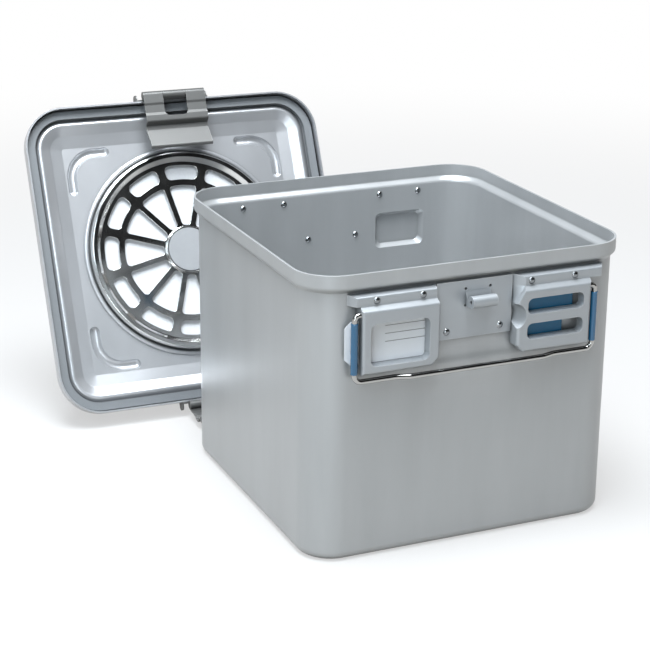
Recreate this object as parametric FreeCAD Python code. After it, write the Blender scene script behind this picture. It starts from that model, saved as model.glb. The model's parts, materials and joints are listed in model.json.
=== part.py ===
import FreeCAD, Part
import math, os

# Sterilization container: a square deep drawn aluminium box, open, and its lid, which leans
# behind it on its lower latch with its inside to the viewer. Millimetres, +Z up, the origin at
# the middle of the box's underside. -Y is the front, where the label holder is.

# The box
box_width = 280.0
box_depth = 280.0
box_height = 244.0
box_wall = 1.8
box_corner = 30.6
floor_bend = 6.2
rim_bend = 2.0
floor_turn = 12.0
emboss_bend = 1.5
rim_step = 4.1
rim_band = 11.5
rim_flare = 4.0
floor_bead_inset = 36.0
floor_bead_width = 10.0
floor_bead_rise = 1.2

# The end fittings, in the plane of an end wall: sideways from its middle, up from the foot of
# the rim's flare, so what hangs below it is negative, and out from the wall
sheet = 1.5
bracket_side = 37.5
bracket_width = 68.0
fitting_gap = 0.2
bracket_bottom = -65.5
band_top = -2.5
band_bottom = -10.0
band_out = 8.0
step_bottom = -14.0
body_out = 12.5
bracket_bend = 3.0
band_bend = 2.0
label_tail = 8.0
slot_tail = 16.0
tail_slope = 5.0
label_flank = 2.0
label_flank_end = -18.0
slot_flank = 8.5
slot_flank_end = -24.0
bottom_chamfer = 6.5
scallop_depth = 6.5
scallop_height = 21.0
scallop_middle = -34.0
window_shift = 1.0
window_width = 48.5
window_height = 32.5
window_level = -41.5
slot_width = 49.0
slot_height = 10.7
lower_slot_level = -48.0
upper_slot_level = -26.8
lip_slope = 1.4
lip_corner = 4.0
slot_corner = 3.5
emboss_out = 4.2
emboss_slope = 3.5
emboss_corner = 6.0
card_length = 70.5
card_height = 35.6
card_level = -40.0
card_thickness = 0.4
card_tab = 12.0
card_corner = 5.0
tag_height = 14.0
upper_tag_length = 46.0
lower_tag_length = 37.0
tag_start = 9.0
slide_gap = 0.3

# The catch between the brackets
catch_plate = 2.0
catch_gap = 0.5
catch_bottom = -49.0
latch_shift = 3.0
lug_width = 22.0
lug_top = -8.0
lug_bottom = -22.0
lug_out = 16.5
lug_nose = 5.0
lug_eye = 1.6
relief_radius = 1.2
plate_rivet_spacing = 48.0
plate_rivet_level = -42.5

# Rivets
rivet_shank = 1.5
rivet_head = 2.9
rivet_head_height = 1.5
rivet_play = 0.05
rivet_level = -6.3
rivet_spacing = 40.0
spacer_radius = 2.1

# The bails
wire_radius = 2.25
bail_side_gap = 2.75
bail_pivot_level = -16.5
bail_pivot_out = 8.2
bail_drop = 55.0
pin_length = 15.5
pivot_bend = 4.0
bail_corner = 6.5
crank_start = 71.0
crank_end = 60.0
crank_out = 3.5
crank_bend = 8.0
sleeve_wall = 0.6
sleeve_top_gap = 6.0
sleeve_bottom_gap = 7.0
running_play = 0.05

# The lid, in its own frame: x and y in its plane, w out of its inside face, w = 0 at the
# edge of its skirt
lid_play = 4.0
lid_sheet = 1.5
channel_depth = 12.0
ridge_depth = 8.8
ridge_inset = 16.0
channel_inset = 11.3
wall_inset = 26.0
wall_depth = 14.0
panel_inset = 38.0
panel_depth = 16.0
shoulder_bend = 1.5
crest_bend = 2.0
panel_bend = 6.0
panel_turn = 1.0
seal_width = 8.1
seal_face = 6.9
seal_bend = 1.0
rib_inset = 44.1
rib_bend = 25.0
rib_straight = 11.0
rib_groove = 5.0
rib_rise = 1.5
vent_ridge_gap = 2.8
vent_ridge_round = 2.6
vent_ridge_sink = 0.4
vent_hole = 3.2
vent_rings = ((34.0, 8), (51.0, 14), (68.0, 20))
lid_yaw = -1.5
lid_lean = 26.0
lid_shift = -92.7
lid_back_gap = 0.6
lid_foot_height = 14.5

# The filter and what holds it
filter_margin = 2.5
filter_thickness = 0.4
stud_radius = 4.0
stud_top = 12.1
stud_head = 8.0
stud_groove = 0.6
retainer_radius = 99.4
retainer_sheet = 0.9
bead_top = 8.0
bead_shoulder = 4.4
bead_slope = 6.0
plate_depth = 12.6
petal_inner = 25.0
petal_margin = 6.2
slot_depth = 14.0
slot_margin = 4.0
spoke_count = 12
spoke_width = 5.6
web_width = 8.5
spoke_turn = 3.0
petal_corner = 3.5
ring_corner = 5.0
hub_radius = 23.3
hub_play = 0.4
hub_top = 7.6
button_gap = 0.3
button_top = 8.2
button_wall = 1.0
button_travel = 1.5
retainer_seal_width = 7.0
retainer_seal_play = 0.6

# The latches and their hinges
pin_radius = 2.5
latch_sheet = 1.5
latch_half_width = 31.5
knuckle_half_width = 11.5
knuckle_gap = 0.4
hinge_rise = 4.5
hinge_half_width = 36.5
hinge_depth = 12.5
ear_height = 7.5
ear_front = 2.5
ear_round = 4.0
latch_window_end = 22.0
latch_window_play = 0.8
latch_window_corner = 5.0
latch_rivet_spacing = 45.6
latch_rivet_depth = 8.0
latch_length = 53.0
latch_flare = 7.5
latch_hem = 3.0
lip_start = 34.5
rib_in = 1.5
latch_bend = 0.8
ground_gap = 0.2

V = FreeCAD.Vector
half_width = box_width / 2
half_depth = box_depth / 2
flare_top = box_height - rim_band
flare_bottom = flare_top - rim_flare
knuckle_radius = pin_radius + running_play + latch_sheet
fitting_top = -rim_bend * math.tan(math.atan2(rim_step, rim_flare) / 2) - fitting_gap
bracket_outer = half_width - bracket_side
bracket_inner = bracket_outer - bracket_width
bracket_middle = (bracket_inner + bracket_outer) / 2
catch_half_width = bracket_inner - catch_gap
window_middle = bracket_middle + window_shift
slot_levels = (lower_slot_level, upper_slot_level)
bail_half_width = bracket_outer + bail_side_gap + wire_radius
lid_reach = rim_step + lid_play + lid_sheet
lid_half_x = half_width + lid_reach
lid_half_y = half_depth + lid_reach
lid_corner = box_corner + lid_reach
seal_inset = lid_sheet + lid_play + box_wall / 2 - seal_width / 2
hinge_reach = lid_half_y + knuckle_radius
vent_ridge = retainer_radius + vent_ridge_gap
bead_crest = retainer_radius - bead_shoulder
bead_inner = bead_crest - bead_slope
slot_outer = bead_inner - slot_margin
slot_inner = slot_outer - slot_depth
petal_outer = slot_inner - petal_margin
retainer_seal_outer = retainer_radius - retainer_sheet - retainer_seal_play
retainer_seal_inner = retainer_seal_outer - retainer_seal_width
latch_window_half = lug_width / 2 + latch_window_play


# Shared shapes

def rounded_outline(half_x, half_y, radius, level=0.0):
    """A rectangle with round corners, flat at a level."""
    def corner_point(k, turn):
        side_x = 1 if k in (0, 3) else -1
        side_y = 1 if k in (0, 1) else -1
        angle = math.radians(90 * k + turn)
        return V(side_x * (half_x - radius) + radius * math.cos(angle),
                 side_y * (half_y - radius) + radius * math.sin(angle), level)

    edges = []
    for k in range(4):
        start, middle, end = corner_point(k, 0), corner_point(k, 45), corner_point(k, 90)
        edges.append(Part.Arc(start, middle, end).toShape())
        edges.append(Part.makeLine(end, corner_point((k + 1) % 4, 0)))
    return Part.Wire(edges)


def rounded_block(half_x, half_y, radius, low, high):
    """A straight block on a rounded outline."""
    face = Part.Face(rounded_outline(half_x, half_y, radius, low))
    return face.extrude(V(0, 0, high - low))


def rounded_taper(bottom, top):
    """A tapered block between two outlines, each (half_x, half_y, radius, level)."""
    return Part.makeLoft([rounded_outline(*bottom), rounded_outline(*top)], True, True)


def prism(points, direction):
    """A polygon carried along a straight direction."""
    return Part.Face(Part.makePolygon(points + [points[0]])).extrude(direction)


def cuboid(low, high):
    """A box between two corners."""
    size = V(*high) - V(*low)
    return Part.makeBox(size.x, size.y, size.z, V(*low))


def rounded_path(points, radii):
    """Straight runs joined by tangent arcs, with a radius for each inner point."""
    points = [V(*point) for point in points]
    edges = []
    start = points[0]
    for before, corner, after, radius in zip(points, points[1:], points[2:], radii):
        back = (before - corner).normalize()
        ahead = (after - corner).normalize()
        half_turn = (math.pi - back.getAngle(ahead)) / 2
        tangent = radius * math.tan(half_turn)
        first = corner + back * tangent
        last = corner + ahead * tangent
        inward = (back + ahead).normalize()
        middle = corner + inward * (radius / math.cos(half_turn) - radius)
        edges.append(Part.makeLine(start, first))
        edges.append(Part.Arc(first, middle, last).toShape())
        start = last
    edges.append(Part.makeLine(start, points[-1]))
    return Part.Wire(edges)


def round_wire(points, radii, radius):
    """A round wire bent along a path."""
    path = rounded_path(points, radii)
    along = V(*points[1]) - V(*points[0])
    section = Part.Wire(Part.makeCircle(radius, V(*points[0]), along))
    return path.makePipeShell([section], True, False)


def revolved(points, middle=V(0, 0, 0)):
    """A polygon of (radius, height) points turned about the vertical."""
    face = Part.Face(Part.makePolygon([V(r, 0, h) for r, h in points + [points[0]]]))
    solid = face.revolve(V(0, 0, 0), V(0, 0, 1), 360)
    solid.translate(middle)
    return solid


def dome(radius, height):
    """A low round head on the plane z = 0."""
    ball = (radius * radius + height * height) / (2 * height)
    arc = Part.Arc(V(radius, 0, 0), V(ball * math.sin(math.asin(radius / ball) / 2), 0,
                   height - ball + ball * math.cos(math.asin(radius / ball) / 2)),
                   V(0, 0, height)).toShape()
    face = Part.Face(Part.Wire([Part.makeLine(V(0, 0, 0), V(radius, 0, 0)), arc,
                                Part.makeLine(V(0, 0, height), V(0, 0, 0))]))
    return face.revolve(V(0, 0, 0), V(0, 0, 1), 360)


def rivet(x, y, low, high):
    """A rivet along z with a round head outside and one inside."""
    shank = Part.makeCylinder(rivet_shank, high - low, V(x, y, low))
    outer = dome(rivet_head, rivet_head_height)
    inner = outer.mirror(V(0, 0, 0), V(0, 0, 1))
    outer.translate(V(x, y, high))
    inner.translate(V(x, y, low))
    return shank.fuse([outer, inner]).removeSplitter()


def bent_sheet(points, bends, thickness):
    """The section of a bent sheet: a line of (out, up) points with a bend's inside radius at
    each inner point, and the sheet's thickness on the line's left."""
    points = [V(out, 0, up) for out, up in points]
    runs = [(end - start).normalize() for start, end in zip(points, points[1:])]
    lefts = [V(-run.z, 0, run.x) for run in runs]
    other = [points[0] + lefts[0] * thickness]
    near, far = [], []
    for point, before, after, left, next_left, bend in zip(points[1:], runs, runs[1:], lefts,
                                                           lefts[1:], bends):
        mitre = (left + next_left) * (thickness / (1 + left.dot(next_left)))
        other.append(point + mitre)
        turns_left = before.x * after.z - before.z * after.x > 0
        near.append(bend + thickness if turns_left else bend)
        far.append(bend if turns_left else bend + thickness)
    other.append(points[-1] + lefts[-1] * thickness)
    edges = rounded_path(points, near).Edges + rounded_path(other, far).Edges
    edges.append(Part.makeLine(points[0], other[0]))
    edges.append(Part.makeLine(points[-1], other[-1]))
    return Part.Face(Part.Wire(Part.__sortEdges__(edges)))


def carried_round(section, half_x, half_y, radius):
    """A section of (out, up) carried round a rectangle with round corners."""
    run_x, run_y = half_x - radius, half_y - radius
    pieces = []
    for k, (reach, run) in enumerate([(half_x, run_y), (half_y, run_x)] * 2):
        straight = section.copy()
        straight.translate(V(reach, -run, 0))
        straight = straight.extrude(V(0, 2 * run, 0))
        corner = section.copy()
        corner.translate(V(radius, 0, 0))
        corner = corner.revolve(V(0, 0, 0), V(0, 0, 1), 90)
        corner.translate(V(reach - radius, run, 0))
        for piece in (straight, corner):
            piece.rotate(V(0, 0, 0), V(0, 0, 1), 90 * k)
            pieces.append(piece)
    return pieces[0].fuse(pieces[1:])


def on_front(shape):
    """Stands a shape made flat (sideways, up, out) against the front wall."""
    placed = shape.copy()
    placed.rotate(V(0, 0, 0), V(1, 0, 0), 90)
    placed.translate(V(0, -half_depth, flare_bottom))
    return placed


def to_back(shape):
    """The same fitting on the back wall."""
    placed = shape.copy()
    placed.rotate(V(0, 0, 0), V(0, 0, 1), 180)
    return placed


def mirrored(shape):
    """The left hand twin of a shape."""
    return shape.mirror(V(0, 0, 0), V(1, 0, 0))


def group(shapes):
    """Separate solids kept in one file."""
    return Part.makeCompound(shapes)


# The box

def floor_bead():
    """The stiffening bead pressed up into the floor: what is added and what is cut."""
    def ring(half_gap, low, high):
        reach_x, reach_y = half_width - floor_bead_inset, half_depth - floor_bead_inset
        outer = rounded_block(reach_x + half_gap, reach_y + half_gap, box_corner, low, high)
        inner = rounded_block(reach_x - half_gap, reach_y - half_gap, box_corner - half_gap,
                              low, high)
        return outer.cut(inner)

    half = floor_bead_width / 2
    added = ring(half + box_wall, box_wall, box_wall + floor_bead_rise)
    removed = ring(half, 0, floor_bead_rise)
    return added, removed


def emboss(grow, low, high):
    """The panel pressed out of the end wall to back the label, as a tapered block."""
    half_x = window_width / 2 - emboss_slope / 2 + grow
    half_y = window_height / 2 - emboss_slope / 2 + grow
    corner = emboss_corner + grow
    slope = emboss_slope * (high - low) / emboss_out
    block = rounded_taper((half_x + slope, half_y + slope, corner, low),
                          (half_x, half_y, corner, high))
    block = block.makeFillet(emboss_bend + grow,
                             [edge for edge in block.Edges if edge.BoundBox.ZMin > high - 0.01])
    block.translate(V(-window_middle, window_level, 0))
    return block


def end_rivet_places():
    """Where rivets pass the end wall: bracket rivets, then catch plate rivets."""
    bracket = [(side * bracket_middle + shift * rivet_spacing / 2, rivet_level)
               for side in (-1, 1) for shift in (-1, 1)]
    plate = [(shift * plate_rivet_spacing / 2, plate_rivet_level) for shift in (-1, 1)]
    return bracket, plate


def rivet_holes(places, low, high):
    """Drilled holes for rivets."""
    return [Part.makeCylinder(rivet_shank + rivet_play, high - low, V(x, y, low))
            for x, y in places]


def build_tub():
    """The box: one deep drawn shell with a stepped rim."""
    section = bent_sheet([(-floor_turn, 0), (0, 0), (0, flare_bottom), (rim_step, flare_top),
                          (rim_step, box_height)], [floor_bend, rim_bend, rim_bend], box_wall)
    shell = carried_round(section, half_width, half_depth, box_corner)
    floor = rounded_block(half_width - floor_turn, half_depth - floor_turn,
                          box_corner - floor_turn, 0, box_wall)
    shell = shell.fuse(floor).removeSplitter()
    added, removed = floor_bead()
    shell = shell.fuse(added).cut(removed)
    pressed = on_front(emboss(0, -0.1, emboss_out))
    hollow = on_front(emboss(-box_wall / 2, -box_wall - 0.1, emboss_out - box_wall))
    shell = shell.fuse([pressed, to_back(pressed)]).cut([hollow, to_back(hollow)])
    bracket, plate = end_rivet_places()
    holes = [on_front(hole) for hole in rivet_holes(bracket + plate, -box_wall - 1, 1)]
    return shell.cut(holes + [to_back(hole) for hole in holes])


# The brackets, made for the right hand side

def bracket_profile(inset, start, end, whole):
    """The bracket's section, carried sideways. The wall side stays open when it is set in."""
    back = -inset - 2 if inset else 0
    points = [(fitting_top, back), (fitting_top, 0), (band_top, band_out),
              (band_bottom, band_out)]
    if whole:
        points += [(step_bottom, body_out), (bracket_bottom, body_out), (bracket_bottom, back)]
    else:
        points += [(band_bottom, back)]
    if not inset:
        points = points[1:]
    face = Part.Face(Part.makePolygon([V(0, u, w) for u, w in points + [points[0]]]))
    if inset:
        face = face.makeOffset2D(-inset, 2, False, False)
    solid = face.extrude(V(end - start, 0, 0))
    solid.translate(V(start, 0, 0))
    return solid


def flank_cut(inset, flank, level):
    """What the slanted flank takes off the bracket's inner side: as deep as the band down to its
    foot, then less and less down to a level."""
    shift = 1 + inset * math.sqrt(2)

    def outline(reach, height):
        points = [(0, -1), (shift, 0), (shift + reach, band_out), (shift + reach, 2 * body_out),
                  (0, 2 * body_out)]
        points = [V(bracket_inner - 1 + x, height, out) for x, out in points]
        return Part.makePolygon(points + [points[0]])

    upper = Part.Face(outline(flank, band_bottom)).extrude(V(0, 30, 0))
    lower = Part.makeLoft([outline(flank, band_bottom), outline(0, level)], True, True)
    return upper.fuse(lower)


def softened(form, inset):
    """Rounds the bracket's bends: its front's edge and the two folds of its band."""
    def level_edges(out):
        return [edge for edge in form.Edges if edge.BoundBox.ZLength < 0.01
                and edge.BoundBox.YLength < 0.01 and abs(edge.BoundBox.ZMin - out) < 0.01]

    front = body_out - inset
    middle = (band_top + band_bottom) / 2
    form = form.makeFillet(bracket_bend - inset,
                           [edge for edge in form.Edges if edge.BoundBox.ZMin > front - 0.01])
    upper = [edge for edge in level_edges(band_out - inset) if edge.BoundBox.YMin > middle]
    form = form.makeFillet(band_bend - inset, upper)
    lower = [edge for edge in level_edges(band_out - inset) if edge.BoundBox.YMin < middle
             and edge.BoundBox.XMax < bracket_outer + 0.1]
    return form.makeFillet(band_bend + inset, lower)


def bracket_form(inset, flank, flank_end, tail_length, scallop):
    """The bracket's outside, or its inside when it is set in by the sheet."""
    main = bracket_profile(inset, bracket_inner + inset, bracket_outer - inset, True)
    tail = bracket_profile(inset, bracket_outer - 3 * sheet,
                           bracket_outer + tail_length - inset, False)
    form = main.fuse(tail)
    reach = body_out + 2
    last = bracket_outer + tail_length - inset
    end = prism([V(last + 1, band_bottom - 1, -1), V(last, band_bottom - 1, 0),
                 V(last - tail_slope * reach / band_out, band_bottom - 1, reach),
                 V(last + 1, band_bottom - 1, reach)], V(0, 30, 0))
    cut = bottom_chamfer + inset * (2 - math.sqrt(2))
    corner = prism([V(bracket_inner + inset, bracket_bottom + inset, -3),
                    V(bracket_inner + inset + cut, bracket_bottom + inset, -3),
                    V(bracket_inner + inset, bracket_bottom + inset + cut, -3)],
                   V(0, 0, reach + 3))
    form = softened(form.cut([end, corner]).removeSplitter(), inset)
    form = form.cut(flank_cut(inset, flank, flank_end))
    if scallop:
        chord = scallop_height / 2
        radius = (chord * chord + scallop_depth * scallop_depth) / (2 * scallop_depth)
        slant = V(scallop_depth, 0, body_out)
        start = V(bracket_inner - radius, scallop_middle, 0) - slant * 0.5
        form = form.cut(Part.makeCylinder(radius + inset, 2 * slant.Length, start, slant))
    return form


def pressed_opening(bracket, width, height, corner, level):
    """Cuts an opening whose lips are pressed in towards the wall."""
    lip_end = emboss_out + 2 * slide_gap + card_thickness + 0.5
    half_x, half_y = width / 2, height / 2
    middle = V(window_middle, level, 0)
    outer = rounded_taper(
        (half_x + sheet, half_y + sheet, corner + sheet, lip_end),
        (half_x + sheet + lip_slope, half_y + sheet + lip_slope, corner + sheet + lip_slope,
         body_out))
    funnel = rounded_taper(
        (half_x, half_y, corner, lip_end),
        (half_x + lip_slope, half_y + lip_slope, corner + lip_slope, body_out))
    through = rounded_block(half_x, half_y, corner, lip_end - 1, body_out + 1)
    for shape in (outer, funnel, through):
        shape.translate(middle)
    return bracket.fuse(outer).cut([funnel, through])


def slide_way(bracket, level, height, out):
    """The rail a card or tag stands on, and its way out through the outer side wall."""
    low = level - height / 2 - slide_gap
    rail = cuboid((bracket_inner + tag_start - slide_gap, low - sheet, out),
                  (bracket_outer - sheet / 2, low, body_out - sheet / 2))
    way = cuboid((bracket_outer - 2 * sheet, low, -1),
                 (bracket_outer + 1, level + height / 2 + slide_gap,
                  emboss_out + 2 * slide_gap + card_thickness))
    return bracket.fuse(rail).cut(way)


def bracket_body(flank, flank_end, tail_length, scallop):
    """A pressed bracket with the bail's hole and its rivet holes, before its openings."""
    body = bracket_form(0, flank, flank_end, tail_length, scallop)
    body = body.cut(bracket_form(sheet, flank, flank_end, tail_length, scallop))
    places = [(bracket_middle + shift * rivet_spacing / 2, rivet_level) for shift in (-1, 1)]
    pivot = Part.makeCylinder(wire_radius + running_play, 3 * sheet,
                              V(bracket_outer - 2 * sheet, bail_pivot_level, bail_pivot_out),
                              V(1, 0, 0))
    return body.cut(rivet_holes(places, band_out - 2 * sheet, band_out + 1) + [pivot])


def build_label_bracket():
    """The left hand bracket, with one window for the label card."""
    bracket = bracket_body(label_flank, label_flank_end, label_tail, False)
    bracket = slide_way(bracket, card_level, card_height, emboss_out + slide_gap)
    bracket = pressed_opening(bracket, window_width, window_height, lip_corner, window_level)
    return mirrored(bracket)


def build_slot_bracket():
    """The right hand bracket, with two slots for coding tags and a thumb scallop."""
    bracket = bracket_body(slot_flank, slot_flank_end, slot_tail, True)
    for level in slot_levels:
        bracket = slide_way(bracket, level, tag_height, slide_gap)
    for level in slot_levels:
        bracket = pressed_opening(bracket, slot_width, slot_height, slot_corner, level)
    return bracket


def build_card():
    """The label card, on the pressed panel behind the window, its tab out at the side."""
    low = emboss_out + slide_gap
    level = card_level
    left = -bracket_outer - card_tab
    right = left + card_length
    top, bottom = level + card_height / 2, level - card_height / 2
    return prism([V(left, bottom + card_corner, low), V(left + card_corner, bottom, low),
                  V(right, bottom, low), V(right, top, low), V(left + card_corner, top, low),
                  V(left, top - card_corner, low)], V(0, 0, card_thickness))


def build_tag(length, level):
    """A coding tag of moulded plastic behind a slot."""
    thick = emboss_out + card_thickness - slide_gap
    tag = rounded_block(length / 2, tag_height / 2, 1.5, slide_gap, slide_gap + thick)
    tag.translate(V(bracket_inner + tag_start + length / 2, level, 0))
    return tag


# The catch

def tangent_point(point, centre, radius, side):
    """Where a line from a point touches a circle, on the side asked for."""
    away = point - centre
    distance = away.Length
    angle = math.atan2(away.z, away.y) + side * math.acos(radius / distance)
    return centre + V(0, radius * math.cos(angle), radius * math.sin(angle))


def build_catch_plate():
    """The plate between the brackets, with the rolled lug that the latch snaps under."""
    plate = cuboid((-catch_half_width, catch_bottom, 0), (catch_half_width, fitting_top, catch_plate))
    start = latch_shift - lug_width / 2
    centre = V(start, lug_bottom + lug_nose, lug_out - lug_nose)
    top = V(start, lug_top, catch_plate / 2)
    bottom = V(start, lug_bottom, catch_plate / 2)
    upper = tangent_point(top, centre, lug_nose, -1)
    lower = V(start, lug_bottom, centre.z)
    nose = centre + V(0, 0, lug_nose)
    outline = Part.Wire([Part.makeLine(top, upper), Part.Arc(upper, nose, lower).toShape(),
                         Part.makeLine(lower, bottom), Part.makeLine(bottom, top)])
    lug = Part.Face(outline).extrude(V(lug_width, 0, 0))
    eye = Part.makeCylinder(lug_eye, lug_width + 2, centre - V(1, 0, 0), V(1, 0, 0))
    reliefs = [Part.makeCylinder(relief_radius, catch_plate + 2, V(latch_shift + side * lug_width / 2,
                                                                  level, -1))
               for side in (-1, 1) for level in (lug_top, lug_bottom)]
    plate = plate.fuse(lug).cut([eye] + reliefs)
    return plate.cut(rivet_holes(end_rivet_places()[1], -1, catch_plate + 1))


# Rivets, spacers and bails

def build_bracket_rivets():
    """Four rivets that hold an end's two brackets."""
    return group([rivet(x, y, -box_wall, band_out) for x, y in end_rivet_places()[0]])


def build_plate_rivets():
    """Two rivets that hold the catch plate."""
    return group([rivet(x, y, -box_wall, catch_plate) for x, y in end_rivet_places()[1]])


def build_spacers():
    """A spacer tube on each bracket rivet, between the wall and the bracket's band."""
    length = band_out - sheet
    tubes = []
    for x, y in end_rivet_places()[0]:
        tube = Part.makeCylinder(spacer_radius, length, V(x, y, 0))
        tubes.append(tube.cut(Part.makeCylinder(rivet_shank + rivet_play, length, V(x, y, 0))))
    return group(tubes)


def build_bail():
    """The carrying bail: one bent wire whose ends turn in as pivots."""
    low = bail_pivot_level - bail_drop
    out = bail_pivot_out
    right = [(crank_end, low, out + crank_out), (crank_start, low, out),
             (bail_half_width, low, out), (bail_half_width, bail_pivot_level, out),
             (bail_half_width - pin_length, bail_pivot_level, out)]
    left = [(-x, y, w) for x, y, w in reversed(right)]
    bends = [pivot_bend, bail_corner, crank_bend, crank_bend]
    return round_wire(left + right, bends + bends[::-1], wire_radius)


def build_sleeves():
    """A plastic sleeve on each leg of a bail."""
    top = bail_pivot_level - sleeve_top_gap
    bottom = bail_pivot_level - bail_drop + sleeve_bottom_gap
    sleeves = []
    for side in (-1, 1):
        foot = V(side * bail_half_width, bottom, bail_pivot_out)
        tube = Part.makeCylinder(wire_radius + running_play + sleeve_wall, top - bottom, foot,
                                 V(0, 1, 0))
        sleeves.append(tube.cut(Part.makeCylinder(wire_radius + running_play, top - bottom,
                                                  foot, V(0, 1, 0))))
    return group(sleeves)


# The lid, in its own frame

def lid_place():
    """Where the lid's middle is, so that its lower latch can swing behind the box."""
    lean, yaw = math.radians(lid_lean), math.radians(lid_yaw)
    down = hinge_reach * math.cos(lean) - hinge_rise * math.sin(lean)
    ahead = hinge_reach * math.sin(lean) + hinge_rise * math.cos(lean)
    near_corner = lip_reach() + latch_half_width * math.sin(abs(yaw))
    pivot = half_depth + near_corner + lid_back_gap
    return V(lid_shift, pivot + ahead * math.cos(yaw) - latch_shift * math.sin(yaw),
             lid_foot_height + down)


def in_lid(shape):
    """Leans a shape of the lid's frame back to where the lid stands."""
    placed = shape.copy()
    placed.rotate(V(0, 0, 0), V(1, 0, 0), 90 - lid_lean)
    placed.rotate(V(0, 0, 0), V(0, 0, 1), lid_yaw)
    placed.translate(lid_place())
    return placed


def lid_block(inset, low, high):
    """A straight block, set in from the lid's outline."""
    return rounded_block(lid_half_x - inset, lid_half_y - inset, lid_corner - inset, low, high)


def corner_rib(radius):
    """A round rod with ball ends along a stacking rib, a quarter bend with straight ends, in the
    upper right corner."""
    reach_x, reach_y = lid_half_x - rib_inset, lid_half_y - rib_inset
    level = rib_rise - panel_depth
    ends = [V(reach_x, reach_y - rib_bend - rib_straight, level),
            V(reach_x - rib_bend - rib_straight, reach_y, level)]
    rod = round_wire([ends[0], (reach_x, reach_y, level), ends[1]], [rib_bend], radius)
    return rod.fuse([Part.makeSphere(radius, end) for end in ends])


def four_corners(shape):
    """A shape repeated in all four corners of the lid."""
    pair = [shape, shape.mirror(V(0, 0, 0), V(1, 0, 0))]
    return pair + [one.mirror(V(0, 0, 0), V(0, 1, 0)) for one in pair]


def vent_holes():
    """The vent's holes through the lid, ring by ring."""
    holes = []
    for ring, count in vent_rings:
        for k in range(count):
            angle = 2 * math.pi * k / count
            holes.append(Part.makeCylinder(vent_hole, 4 * lid_sheet, V(
                ring * math.cos(angle), ring * math.sin(angle), -panel_depth - 3 * lid_sheet)))
    return holes


def build_lid_pan():
    """The lid's pressed aluminium pan."""
    t = lid_sheet
    section = bent_sheet(
        [(-t, 0), (-t, -channel_depth), (-channel_inset, -channel_depth),
         (-ridge_inset, -ridge_depth), (-wall_inset, -wall_depth), (-panel_inset, -panel_depth),
         (-panel_inset - panel_turn, -panel_depth)],
        [shoulder_bend, shoulder_bend, crest_bend, panel_bend, panel_bend], t)
    shell = carried_round(section, lid_half_x, lid_half_y, lid_corner)
    panel = lid_block(panel_inset + panel_turn, -panel_depth - t, -panel_depth)
    above = lid_block(panel_inset - rib_groove, -panel_depth - t, 0)
    ribs = [rib.cut(above) for rib in four_corners(corner_rib(rib_groove + t))]
    ridge_level = -panel_depth - vent_ridge_sink
    ridge = Part.makeTorus(vent_ridge, vent_ridge_round, V(0, 0, ridge_level))
    under = Part.makeTorus(vent_ridge, vent_ridge_round - t, V(0, 0, ridge_level - t))
    shell = shell.fuse([panel, ridge] + ribs).removeSplitter()
    grooves = four_corners(corner_rib(rib_groove))
    stud = Part.makeCylinder(stud_radius + rivet_play, 4 * t, V(0, 0, -panel_depth - 3 * t))
    holes = []
    for side in (-1, 1):
        for x in latch_rivet_places():
            holes.append(Part.makeCylinder(rivet_shank + rivet_play, 4 * t,
                                           V(x, side * (lid_half_y - 2 * t), -latch_rivet_depth),
                                           V(0, side, 0)))
    return shell.cut(grooves + vent_holes() + [stud] + holes)


def build_lid_seal():
    """The silicone seal in the lid's channel, over the box's rim."""
    ring = lid_block(seal_inset, -channel_depth, -seal_face)
    ring = ring.makeFillet(seal_bend, [edge for edge in ring.Edges
                                       if edge.BoundBox.ZLength < 0.01])
    inner = lid_block(seal_inset + seal_width, -channel_depth - 1, -seal_face + 1)
    return ring.cut(inner)


def build_vent_filter():
    """The round paper filter over the vent holes."""
    disc = Part.makeCylinder(bead_inner - filter_margin, filter_thickness,
                             V(0, 0, -panel_depth))
    return disc.cut(Part.makeCylinder(stud_radius + slide_gap, filter_thickness,
                                      V(0, 0, -panel_depth)))


def build_vent_stud():
    """The stud in the middle of the vent that the retainer locks on."""
    low = -panel_depth - lid_sheet
    neck = stud_radius - stud_groove
    groove = -plate_depth - stud_groove
    return revolved([(0, low - lid_sheet), (stud_head, low - lid_sheet), (stud_head, low),
                     (stud_radius, low), (stud_radius, groove - stud_groove), (neck, groove),
                     (neck, groove + stud_groove), (stud_radius, groove + stud_groove),
                     (stud_radius, -stud_top - stud_groove / 2),
                     (stud_radius - stud_groove / 2, -stud_top), (0, -stud_top)])


# The retainer

def ring_window(inner, outer, gap, corner, angle):
    """A window between two radii, with straight sides that leave a bar of even width."""
    half_step = math.pi / spoke_count

    def side_point(radius, side):
        reach = math.sqrt(radius * radius - gap * gap / 4)
        along = V(math.cos(side * half_step), math.sin(side * half_step), 0)
        across = V(math.sin(side * half_step), -math.cos(side * half_step), 0) * side
        return along * reach + across * (gap / 2)

    low = V(0, 0, -plate_depth - 3)
    inside = [side_point(inner, -1), V(inner, 0, 0), side_point(inner, 1)]
    outside = [side_point(outer, 1), V(outer, 0, 0), side_point(outer, -1)]
    wire = Part.Wire([Part.makeLine(outside[2], inside[0]),
                      Part.Arc(*inside).toShape(), Part.makeLine(inside[2], outside[0]),
                      Part.Arc(*outside).toShape()])
    solid = Part.Face(wire).extrude(V(0, 0, 6))
    upright = [edge for edge in solid.Edges
               if edge.BoundBox.ZLength > 5 and edge.BoundBox.XLength < 0.01]
    solid = solid.makeFillet(corner, upright)
    solid.translate(low)
    solid.rotate(V(0, 0, 0), V(0, 0, 1), angle)
    return solid


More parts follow.
